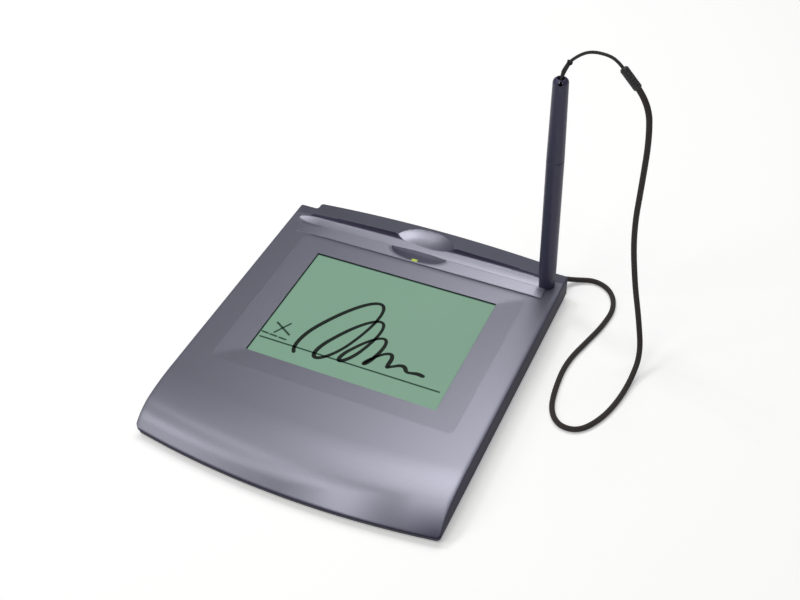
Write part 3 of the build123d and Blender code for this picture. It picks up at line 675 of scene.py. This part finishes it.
def painted_shade_share(x, y):
    """Painted shade: how far the top's colour darkens at the cover's edges, on its rear, in its hollows and beside
    the pen.
    """
    inside = front_inside(x, y)
    across, radius = y - tray_middle(x), tray_radius(x)
    tray, out = in_tray(x, y), scoop_share(x, y)
    scoop, floor = out < 1, scoop_floor(out)
    lowest = np.where(tray, tray_height(x, y), 99)
    behind = ~tray & (out > 1)
    steep = (across / radius - STEEP_START - STEEP_SHIFT * ramp(x, 0, 40)) / STEEP_WIDTH
    steep = np.clip(steep, 0, STEEP_DARK) * ramp(x, -69, -68)
    tray_lip = fade(np.abs(across + tray_front(x) - TRAY_LIP_AT), TRAY_LIP_WIDTH)
    tray_lip *= np.clip(TRAY_LIP_DARK + x / TRAY_LIP_RUN, 0.2, 0.8)
    near_right = BOWL_MIDDLE + BOWL_RIGHT * x / SCOOP_HALF - BOWL_REAR * (y - SCOOP_Y) / SCOOP_REACH
    pen = np.hypot(x - PEN[0] - PEN_DARK_SHIFT, y - PEN[1] + PEN_DARK_SHIFT)
    before_deck = fade(DECK_FRONT - y, FOOT_WIDTH) ** FOOT_BEND
    foot = np.where(y < DECK_FRONT, before_deck, fade(y - DECK_FRONT - FOOT_BACK, FOOT_BACK_WIDTH))
    side = fade(np.maximum(HALF - np.abs(x) - EDGE, 0), SIDE_FADE) ** 2
    on_deck = (x > DECK_LEFT) & (x < DECK_RIGHT)
    on_ledge = behind & (np.abs(x) < RAIL_HALF) & (y > PEN[1]) & (y < RAIL_FRONT + 0.02)
    # Each layer is painted shade: the tray's steep rear side and its front edge line, the scoop's crescent and bowl,
    # the rail and the ledge before it, the pen's shadow and reflection, the foot of the deck's step, the nose's lip,
    # the nose's highlight fading to the right, and the side edges.
    layers = (
        (tray & ~(scoop & (floor < lowest)), np.maximum(steep, tray_lip)),
        (scoop & (across < 0) & (floor < np.minimum(lowest, DECK) + 0.02), CRESCENT_DARK - CRESCENT_EASE * x),
        (scoop & (across > 0) & (floor < lowest), BOWL_DARK * np.clip(near_right, 0, 1)),
        (behind & (y > RAIL_FRONT), RAIL_DARK + RAIL_DARKER * ramp(x, *RAIL_DARK_RUN)),
        (on_ledge, LEDGE_DARK),
        (~tray & (x >= PEN_DARK_LEFT), PEN_DARK * fade(pen - PEN_DARK_START, PEN_DARK_WIDTH)),
        (on_deck, FOOT_DARK * foot * ramp(x, DECK_LEFT, DECK_LEFT + DECK_FADE)),
        (True, fade(inside, LIP_DEPTH) ** LIP_BEND),
        (True, RIGHT_DARK * ramp(x, 0, RIGHT_RUN) ** RIGHT_BEND * fade(inside, RIGHT_WIDTH)),
        (True, np.where(x > 0, SIDE_DARK_RIGHT, SIDE_DARK_LEFT) * side),
    )
    return np.maximum.reduce([np.where(here, dark, 0.0) for here, dark in layers])


# ---- the cover's mesh

class Shell:
    """A mesh while it grows, with a normal for each corner of a face and, for each point, a share of the walls' dark
    colour, which on the top, on the rounded edge and in holes is painted shade.
    """

    def __init__(self):
        self.verts, self.faces, self.normals, self.dark = [], [], [], []

    def points(self, spots, dark=1.0):
        """Adds points and tells the first one's number."""
        base = len(self.verts)
        self.verts += [tuple(s) for s in spots]
        self.dark += list(np.broadcast_to(dark, len(spots)))
        return base

    def face(self, corners, normals):
        self.faces.append(tuple(corners))
        self.normals += [tuple(n) for n in normals]


def edge_rings(outline, normal, share):
    """Loops round the cover's edge, from the wall in to the top. Where share is 0 the edge isn't rounded."""
    rings = []
    for angle in EDGE_ANGLES:
        inset = EDGE * (1 - math.sin(angle))
        spot = outline - normal * max(inset, 0.0005)
        z = cover_height(*spot.T) - share * EDGE * (1 - math.cos(angle))
        rings.append(np.column_stack([outline - normal * inset, np.maximum(z, SEAM + 0.1)]))
    return rings


def add_top(shell, flat, tris):
    """The top's triangles. Each corner's normal is taken a little inside its triangle."""
    shell.points(np.column_stack([flat, cover_height(*flat.T)]), 0.0)
    middle = flat[tris].mean(1)
    corners = [field_normals(*(flat[tris[:, k]] * 0.9 + middle * 0.1).T) for k in range(3)]
    for tri, normals in zip(tris, np.stack(corners, 1)):
        shell.face(tri, normals)


def add_walls(shell, outline, normal, rings, share):
    """The rounded edge, the upright walls and their foot, drawn dark; the edge darkens towards them as painted
    shade. Returns the port's two ends in x.
    """
    count = len(outline)
    field = field_normals(*(outline - normal * (EDGE + SLACK)).T)
    out = np.column_stack([normal, np.zeros(count)])
    down = np.tile([0.0, 0.0, -1.0], (count, 1))
    levels = []
    for angle, loop in zip(EDGE_ANGLES, rings):
        own = field_normals(*(loop[:, :2] - normal * 0.02).T)
        mixed = out * math.sin(angle) + field * math.cos(angle)
        mixed = mixed * share[:, None] + own * (1 - share[:, None])
        # The rounded edge darkens towards the walls as painted shade
        dark = (EDGE_DARK_LEAST + (1 - EDGE_DARK_LEAST) * math.sin(angle)) * share
        levels.append((shell.points(loop, dark), mixed / np.linalg.norm(mixed, axis=1)[:, None]))
    at_rear = outline[:, 1] > SHOULDER + 2
    rows = []
    for part, port_level in ((1.0, None), (0.7, PORT[3]), (0.26, PORT[2]), (0.0, None)):
        z = SEAM + (rings[0][:, 2] - SEAM) * part
        if port_level is not None:
            z = np.where(at_rear, port_level, z)
        rows.append(shell.points(np.column_stack([outline, z])))
    foot = shell.points(np.column_stack([outline - normal * 0.7, np.full(count, SEAM)]))
    strips = [(*levels[k + 1], *levels[k]) for k in range(len(levels) - 1)]
    strips += [(rows[k], out, rows[k + 1], out) for k in range(3)]
    strips.append((rows[3], down, foot, down))
    port = []
    for upper, upper_normals, lower, lower_normals in strips:
        for k in range(count):
            j = (k + 1) % count
            if upper == rows[1] and at_rear[k] and PORT[0] < (outline[k, 0] + outline[j, 0]) / 2 < PORT[1]:
                port += [outline[k, 0], outline[j, 0]]
                continue
            shell.face((upper + j, upper + k, lower + k, lower + j),
                       (upper_normals[j], upper_normals[k], lower_normals[k], lower_normals[j]))
    return min(port), max(port)


def add_hole(shell, hole, low):
    """Upright walls down from a hole's edge, facing into the hole, drawn dark as painted shade in the hole."""
    spots, size = np.array(hole), len(hole)
    facing = np.column_stack([-outward(hole), np.zeros(size)])
    base = shell.points(np.column_stack([spots, cover_height(*spots.T)]))
    foot = shell.points(np.column_stack([spots, np.full(size, low)]))
    for k in range(size):
        j = (k + 1) % size
        shell.face((base + k, base + j, foot + j, foot + k), (facing[k], facing[j], facing[j], facing[k]))


def add_port(shell, x0, x1):
    """The four walls of the opening in the rear of the cover, drawn dark as painted shade inside it."""
    y0, y1 = REAR - PORT_DEPTH, rear_line((PORT[0] + PORT[1]) / 2)
    z0, z1 = PORT[2:]
    for quad, facing in (
        (((x0, y1, z0), (x1, y1, z0), (x1, y0, z0), (x0, y0, z0)), (0, 0, 1)),
        (((x0, y1, z1), (x0, y0, z1), (x1, y0, z1), (x1, y1, z1)), (0, 0, -1)),
        (((x0, y1, z0), (x0, y0, z0), (x0, y0, z1), (x0, y1, z1)), (1, 0, 0)),
        (((x1, y1, z0), (x1, y1, z1), (x1, y0, z1), (x1, y0, z0)), (-1, 0, 0)),
    ):
        base = shell.points(quad)
        shell.face(range(base, base + 4), [facing] * 4)


def make_cover(material):
    outline = np.array(cover_outline())
    normal = outward(outline)
    share = ramp(normal[:, 1], -0.6, -0.1)  # 0 along the front, where the nose runs out to the edge
    rings = edge_rings(outline, normal, share)
    holes = [box_outline(VIEW, 0.5), ring(PEN, HOLE, 64), box_outline(LIGHT_HOLE, 0.2, 0.5)]
    shell = Shell()
    edge = [tuple(q[:2]) for q in rings[-1]]
    add_top(shell, *top_triangles(edge, holes, guide_rows(outline, normal)))
    port = add_walls(shell, outline, normal, rings, share)
    for hole, low in zip(holes, (UNDER, UNDER, LIGHT_FLOOR)):
        add_hole(shell, hole, low)
    add_port(shell, *port)
    obj = mesh_object("cover_shell", shell.verts, shell.faces, material)
    spots = np.array([v[:2] for v in shell.verts])
    # Painted shade on the top, together with the dark walls, goes into a point attribute
    dark = np.maximum(shell.dark, painted_shade_share(*spots.T))
    attribute = obj.data.attributes.new("wall", "FLOAT", "POINT")
    attribute.data.foreach_set("value", dark.astype(np.float32))
    obj.data.shade_smooth()
    obj.data.normals_split_custom_set(shell.normals)
    return obj


cover = make_cover(cover_paint())
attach(cover, "housing")
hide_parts("top_cover")

# ---- cords, in millimetres

TETHER_ROUTE = [
    (72.2, 83.8, 8.6), (72.4, 90.2, 6.0), (77.6, 95.6, 2.0), (88.3, 100.2, 1.4), (98.4, 95.2, 1.4),
    (103.5, 83.2, 1.4), (101.4, 68.0, 1.4), (98.4, 57.5, 1.4), (93.0, 38.5, 1.4), (93.6, 20.0, 1.4),
    (96.2, 6.0, 1.4), (103.0, -1.5, 1.4), (112.5, -0.5, 1.4), (119.5, 10.0, 1.4), (123.5, 23.5, 1.4),
    (125.5, 38.5, 2.6), (126.0, 50.5, 9.0), (121.5, 57.0, 24.5), (116.5, 58.5, 47.0), (112.5, 60.0, 75.0),
    (113.5, 60.0, 105.0), (113.9, 59.7, 127.0), (111.8, 60.4, 142.8), (106.0, 62.1, 148.3),
]
STRING_ROUTE = [
    (73.6, 71.9, 147.9), (76.8, 70.9, 152.0), (83.0, 69.1, 156.6),
    (91.0, 66.7, 158.0), (95.78, 65.18, 156.98), (98.7, 64.3, 154.5),
]
LOOP_ROUTE = [
    (73.1, 71.4, 147.0), (71.4, 71.8, 143.2), (69.9, 72.4, 138.5), (69.9, 72.4, 133.9),
    (69.3, 74.4, 133.9), (69.3, 74.4, 138.5), (71.2, 73.7, 143.2), (73.1, 72.5, 147.0),
]
TETHER_RADIUS, STRING_RADIUS, KNOT_RADIUS = 1.35, 0.70, 0.46
KNOT_PLACE, KNOT_SIZE, KNOT_WIDTH = (73.3, 71.9, 147.3), 0.33, 1.25
LOOP_THIN, LOOP_SWELL, LOOP_INSIDE, LOOP_SWELL_RUN = 0.48, 0.46, 5.4, 2.0
FERRULE_NECK, FERRULE_END, FERRULE_OVER = 0.72, 1.2, 0.7
RIB_HEIGHT, RIB_PITCH = 0.05, 0.9
SHARP_ANGLE = math.radians(60)


def follow(name, route, fine=14):
    """Points of the smooth line of a route, in metres."""
    curve = bpy.data.curves.new(name, "CURVE")
    curve.dimensions = "3D"
    curve.resolution_u = fine
    spline = curve.splines.new("NURBS")
    spline.points.add(len(route) - 1)
    for point, place in zip(spline.points, route):
        point.co = (*[c * MM for c in place], 1.0)
    spline.order_u = 3
    spline.use_endpoint_u = True
    holder = link(bpy.data.objects.new(name, curve))
    mesh = bpy.data.meshes.new_from_object(holder)
    points = [v.co.copy() for v in mesh.vertices]
    bpy.data.objects.remove(holder)
    bpy.data.meshes.remove(mesh)
    bpy.data.curves.remove(curve)
    return points


def frames(points):
    """At each point of a line: the point, two directions across that don't twist, and the length."""
    runs = [(b - a).normalized() for a, b in zip(points, points[1:])]
    runs.append(runs[-1].copy())
    across = runs[0].orthogonal().normalized()
    out, length = [], 0.0
    for k, point in enumerate(points):
        if k:
            length += (point - points[k - 1]).length
        run = (runs[k] + runs[max(0, k - 1)]).normalized()
        across = (across - run * across.dot(run)).normalized()
        out.append((point, across.copy(), run.cross(across), length))
    return out


def tube(name, line, radius, sides, material, caps=True):
    """A tube round a line in metres. radius is a number in millimetres, or a function of length."""
    verts, faces, uvs = [], [], []
    steps = frames(line)
    for point, a, b, length in steps:
        r = (radius(length) if callable(radius) else radius) * MM
        for k in range(sides):
            turn = math.tau * k / sides
            verts.append(point + a * (r * math.cos(turn)) + b * (r * math.sin(turn)))
    for i in range(len(steps) - 1):
        low, high = steps[i][3], steps[i + 1][3]
        near, far = i * sides, (i + 1) * sides
        for k in range(sides):
            j = (k + 1) % sides
            faces.append((near + k, near + j, far + j, far + k))
            uvs += [(k / sides, low), ((k + 1) / sides, low), ((k + 1) / sides, high), (k / sides, high)]
    if caps:
        last = (len(steps) - 1) * sides
        faces += [tuple(range(sides - 1, -1, -1)), tuple(range(last, last + sides))]
        uvs += [(0.0, 0.0)] * sides + [(0.0, steps[-1][3])] * sides
    mesh = bpy.data.meshes.new(name)
    mesh.from_pydata(verts, [], faces)
    layer = mesh.uv_layers.new(name="along")
    layer.data.foreach_set("uv", [c for uv in uvs for c in uv])
    mesh.update()
    mesh.materials.append(material)
    mesh.shade_smooth()
    mesh.set_sharp_from_angle(angle=SHARP_ANGLE)
    return link(bpy.data.objects.new(name, mesh))


def knot_line(centre, size, count=90):
    """A trefoil knot's line round a point."""
    line = []
    for k in range(count + 1):
        t = math.tau * k / count
        away = 2 + math.cos(3 * t)
        spot = Vector((away * math.cos(2 * t), math.sin(3 * t) * KNOT_WIDTH, away * math.sin(2 * t)))
        line.append((Vector(centre) + spot * size) * MM)
    return line


def ferrule_radius(length):
    """A capsule with fine ribs round it."""
    near = min(length / MM, ferrule_length - length / MM)
    dip = max(0.0, FERRULE_END - near)
    rib = RIB_HEIGHT * math.sin(length / MM * math.tau / RIB_PITCH) * min(1.0, near / FERRULE_END)
    return FERRULE_NECK + math.sqrt(max(0.0, FERRULE_END ** 2 - dip * dip)) + rib


def loop_radius(length):
    """The loop is thinner inside the pen's end."""
    away = abs(length - loop_length / 2) / MM
    return LOOP_THIN + LOOP_SWELL * min(1.0, max(0.0, (away - LOOP_INSIDE) / LOOP_SWELL_RUN))


tether_weave = braid("tether_weave", (0.030, 0.024, 0.023), 1.5, 7, 0.10)
string_weave = braid("string_weave", (0.020, 0.018, 0.020), 0.9, 3, 0.05)
ferrule_black = braid("ferrule_knurl", (0.013, 0.013, 0.015), 1.1, 6, 0.12, 0.42)

string_end, tether_end = Vector(STRING_ROUTE[-1]), Vector(TETHER_ROUTE[-1])
over = (tether_end - string_end).normalized() * FERRULE_OVER
ferrule_start, ferrule_stop = string_end - over, tether_end + over
ferrule_length = (ferrule_stop - ferrule_start).length
ferrule_points = [ferrule_start.lerp(ferrule_stop, t) * MM for t in np.linspace(0, 1, 121)]
ferrule = tube("ferrule", ferrule_points, ferrule_radius, 40, ferrule_black)
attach(ferrule, "pen")
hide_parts("cord_ferrule")

tether_points = follow("tether_line", TETHER_ROUTE)
tether = tube("tether", tether_points, TETHER_RADIUS, 20, tether_weave)
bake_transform(tether)
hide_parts("tether_cord")

string_points = follow("string_line", STRING_ROUTE, 24)
string = tube("string", string_points, STRING_RADIUS, 18, string_weave)
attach(string, "pen")
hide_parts("pen_string")
knot = tube("string_tie", knot_line(KNOT_PLACE, KNOT_SIZE), KNOT_RADIUS, 12, string_weave, caps=False)
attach(knot, "pen")
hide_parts("string_knot")
loop_points = follow("loop_line", LOOP_ROUTE, 24)
loop_length = frames(loop_points)[-1][3]
loop = tube("string_eye", loop_points, loop_radius, 16, string_weave)
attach(loop, "pen")
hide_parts("string_loop")

# ---- display, in millimetres

IMAGE_LEVEL, INK_LEVEL = 12.82, 12.84
IMAGE_MARGIN, IMAGE_SQUARES = 0.42, (26, 20)
ROUND_END = 9  # points of a stroke's round end
FLOURISH_TALL, FLOURISH_TAIL, FLOURISH_LENGTH = 29.0, 2.2, 43.0
FLOURISH_WIDTH, FLOURISH_SWELL = 1.95, 0.30


def make_image():
    """The picture layer on the window, in small squares."""
    x0, y0 = VIEW[0] - IMAGE_MARGIN, VIEW[2] - IMAGE_MARGIN
    x1, y1 = VIEW[1] + IMAGE_MARGIN, VIEW[3] + IMAGE_MARGIN
    across, along = IMAGE_SQUARES
    row = across + 1
    verts = [(x0 + (x1 - x0) * i / across, y0 + (y1 - y0) * j / along, IMAGE_LEVEL)
             for j in range(along + 1) for i in range(row)]
    faces = [(j * row + i, j * row + i + 1, (j + 1) * row + i + 1, (j + 1) * row + i)
             for j in range(along) for i in range(across)]
    return mesh_object("display_image", verts, faces, display_green())


def stroke(points, widths):
    """A flat drawn line with round ends through points."""
    p = np.array(points, float)
    run = np.gradient(p, axis=0)
    run /= np.linalg.norm(run, axis=1)[:, None]
    side = np.stack([-run[:, 1], run[:, 0]], 1)
    w = np.array(widths, float)[:, None] / 2
    verts = [(*q, INK_LEVEL) for q in p + side * w] + [(*q, INK_LEVEL) for q in p - side * w]
    n = len(p)
    faces = [(n + k, n + k + 1, k + 1, k) for k in range(n - 1)]
    for end, sign in ((0, -1), (n - 1, 1)):
        start = len(verts)
        for a in np.linspace(-math.pi / 2, math.pi / 2, ROUND_END):
            spot = p[end] + run[end] * sign * math.cos(a) * w[end] + side[end] * math.sin(a) * w[end]
            verts.append((*spot, INK_LEVEL))
        faces.append(tuple(range(start, start + ROUND_END))[::sign])
    return verts, faces


def drawn(name, strokes, material):
    verts, faces = [], []
    for points, widths in strokes:
        new_verts, new_faces = stroke(points, widths)
        base = len(verts)
        verts += new_verts
        faces += [tuple(base + i for i in face) for face in new_faces]
    obj = mesh_object(name, verts, faces, material)
    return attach(obj, "housing")


def straight(a, b, width, steps=12):
    start, end = np.array(a, float), np.array(b, float)
    return [start + (end - start) * t for t in np.linspace(0, 1, steps)], [width] * steps


def flourish_points():
    """Slanting loops that shrink to the right and run out in a tail."""
    points = []
    for t in np.linspace(-1.2, math.tau * 5.4, 340):
        share = max(0.0, t) / (math.tau * 4.05)
        tall = FLOURISH_TALL * max(0.0, 1 - share) ** 1.3 + FLOURISH_TAIL * min(1.0, max(0.0, 1.33 - share) / 0.33)
        lean = 1.0 if math.sin(t) > 0 else 0.62
        y = 1.5 - 13.0 * share + 5.0 * share ** 2 + tall * math.sin(t) * lean
        x = -18.0 + FLOURISH_LENGTH * share - tall * 0.30 * math.cos(t) + 0.42 * y
        points.append((x, y))
    return points


ink = surface("display_ink", (0.010, 0.016, 0.013), 0.6, grain=2500.0, depth=0.002, vary=0.15, level=0.2)
# Faint ink for the printed line and mark, and for the painted shadow round the display
faint_ink_and_shadow = surface("display_faint_ink_and_shadow", (0.030, 0.075, 0.050), 0.6, grain=2500.0, depth=0.002, vary=0.12, level=0.2)
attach(make_image(), "housing")
left, right, near, far = VIEW
# A painted shadow of the bezel's edge round the display's opening, widest along the top and the left
drawn("display_rim_painted_shadow", [
    straight((left, far), (right, far), 1.5, 40),
    straight((left, near), (left, far), 1.1, 40),
    straight((left, near), (right, near), 0.5, 40),
    straight((right, near), (right, far), 0.5, 40),
], faint_ink_and_shadow)
drawn("signing_line", [straight((-49.0, -13.6), (47.5, -13.1), 0.95, 40)], faint_ink_and_shadow)
drawn("sign_here_mark", [
    straight((-43.6, -8.6), (-38.8, -0.2), 1.05),
    straight((-45.4, -2.0), (-36.0, -7.4), 1.15),
    straight((-49.6, -10.2), (-46.2, -10.4), 1.0),
    straight((-44.9, -10.5), (-41.2, -10.7), 1.0),
    straight((-39.6, -10.8), (-35.9, -11.0), 1.0),
], faint_ink_and_shadow)
flourish = flourish_points()
swell = [FLOURISH_WIDTH + FLOURISH_SWELL * math.sin(k * 0.12) for k in range(len(flourish))]
drawn("flourish", [(flourish, swell)], ink)

# ---- finishes of the CAD nodes

window_film = surface("window_film", (0.10, 0.13, 0.11), 0.32, grain=160.0, depth=0.001, vary=0.04, level=0.4)
window_film.node_tree.nodes["Principled BSDF"].inputs["Alpha"].default_value = 0.07
pen_satin = surface("pen_satin", PEN_COLOUR, 0.38, grain=2600.0, depth=0.006, vary=0.06, level=0.38)
steel = surface("steel", (0.56, 0.55, 0.53), 0.32, metal=1.0, grain=1800.0, depth=0.004, stretch=(1, 1, 6))
tin = surface("tinned_sheet", (0.60, 0.60, 0.58), 0.42, metal=1.0, depth=0.006, stretch=(6, 1, 1))
copper = surface("copper_wire", (0.72, 0.36, 0.20), 0.35, metal=1.0, grain=2600.0, stretch=(1, 1, 12))
board_green = surface("board_green", (0.020, 0.120, 0.052), 0.42, grain=700.0, depth=0.01, vary=0.2)
flex_amber = surface("flex_amber", (0.46, 0.22, 0.05), 0.35, grain=500.0, depth=0.004, stretch=(1, 8, 1))
label_white = surface("blank_label", (0.62, 0.62, 0.60), 0.55, grain=800.0, depth=0.008, vary=0.03)

for node, material in {
    "base_shell": surface("base_plastic", (0.045, 0.042, 0.060), 0.55, grain=1500.0, depth=0.03),
    "rubber_feet": surface("foot_rubber", (0.035, 0.034, 0.036), 0.8, grain=1100.0, depth=0.04),
    "case_screws": steel,
    "blank_label": label_white,
    "display_window": window_film,
    "window_gasket": surface("gasket_foam", (0.014, 0.016, 0.016), 0.9, grain=1900.0, depth=0.05),
    "display_bezel": surface("bezel_black", (0.026, 0.030, 0.030), 0.5, grain=1300.0, depth=0.01),
    "display_panel": surface("panel_glass", (0.18, 0.30, 0.22), 0.22, grain=300.0, depth=0.001, vary=0.05),
    "pen_sensor_board": board_green,
    "shield_plate": tin,
    "main_board": board_green,
    "board_chips": surface("chip_black", (0.022, 0.022, 0.024), 0.62, grain=2400.0, depth=0.01),
    "board_screws": steel,
    "display_flex": flex_amber,
    "sensor_flex": flex_amber,
    "status_led": label_white,
    "light_pipe": light_glow(),
    "data_socket": tin,
    "pen_well": surface("well_plastic", (0.028, 0.026, 0.036), 0.5, grain=1500.0),
    "tether_anchor": surface("anchor_rubber", (0.030, 0.027, 0.032), 0.6, grain=1700.0),
    "pen_grip": pen_satin,
    "pen_barrel": pen_satin,
    "pen_nib": surface("nib_plastic", (0.10, 0.10, 0.105), 0.45, grain=2600.0, depth=0.006),
    "pen_core": surface("ferrite", (0.055, 0.055, 0.058), 0.62, grain=1600.0),
    "pen_coil": copper,
    "pen_pressure_sensor": surface("black_soft_plastic", (0.020, 0.020, 0.024), 0.55, grain=1400.0),
    "pen_board": board_green,
    "eyelet_pin": steel,
}.items():
    nodes[node].data.materials.clear()
    nodes[node].data.materials.append(material)

# ---- floor and lights, in metres

FLOOR_REACH = 6000.0  # millimetres
LAMP_COLOUR, SKY_COLOUR, SKY_LEVEL = (1.0, 0.99, 0.91), (0.84, 0.90, 1.14), 0.09


def area_light(name, spot, size, power, colour=LAMP_COLOUR):
    """A square lamp that points at the middle of the desk."""
    data = bpy.data.lights.new(name, "AREA")
    data.shape = "RECTANGLE"
    data.size = data.size_y = size
    data.energy = power
    data.color = colour
    obj = link(bpy.data.objects.new(name, data))
    obj.location = spot
    obj.rotation_euler = (-Vector(spot)).to_track_quat("-Z", "Y").to_euler()
    return obj


corners = [(x * FLOOR_REACH, y * FLOOR_REACH, 0) for x, y in ((-1, -1), (1, -1), (1, 1), (-1, 1))]
floor = mesh_object("floor", corners, [(0, 1, 2, 3)], floor_paper())

world = bpy.data.worlds.new("studio")
world.use_nodes = True
background = world.node_tree.nodes["Background"]
background.inputs["Color"].default_value = (*SKY_COLOUR, 1.0)
background.inputs["Strength"].default_value = SKY_LEVEL
scene.world = world

area_light("over_left", (-0.65, -0.05, 1.3), 0.42, 1.4)
area_light("front_left", (-0.2, -0.55, 1.3), 0.42, 2.95)
area_light("back_left", (-0.2, 0.45, 1.3), 0.42, 2.44)
area_light("far_back", (-0.2, 0.95, 1.3), 0.42, 1.0)
area_light("front_right", (0.25, -0.55, 1.3), 0.42, 1.89)
area_light("far_left", (-0.9, -0.7, 1.0), 0.4, 2.3)
area_light("back_box", (0.115, 0.647, 1.236), 0.5, 3.48)
left_box = area_light("left_box", (-0.55, 0.25, 1.2), 0.20, 2.47, (0.97, 0.98, 1.08))
left_box.visible_glossy = False

scene.view_settings.view_transform = "Standard"
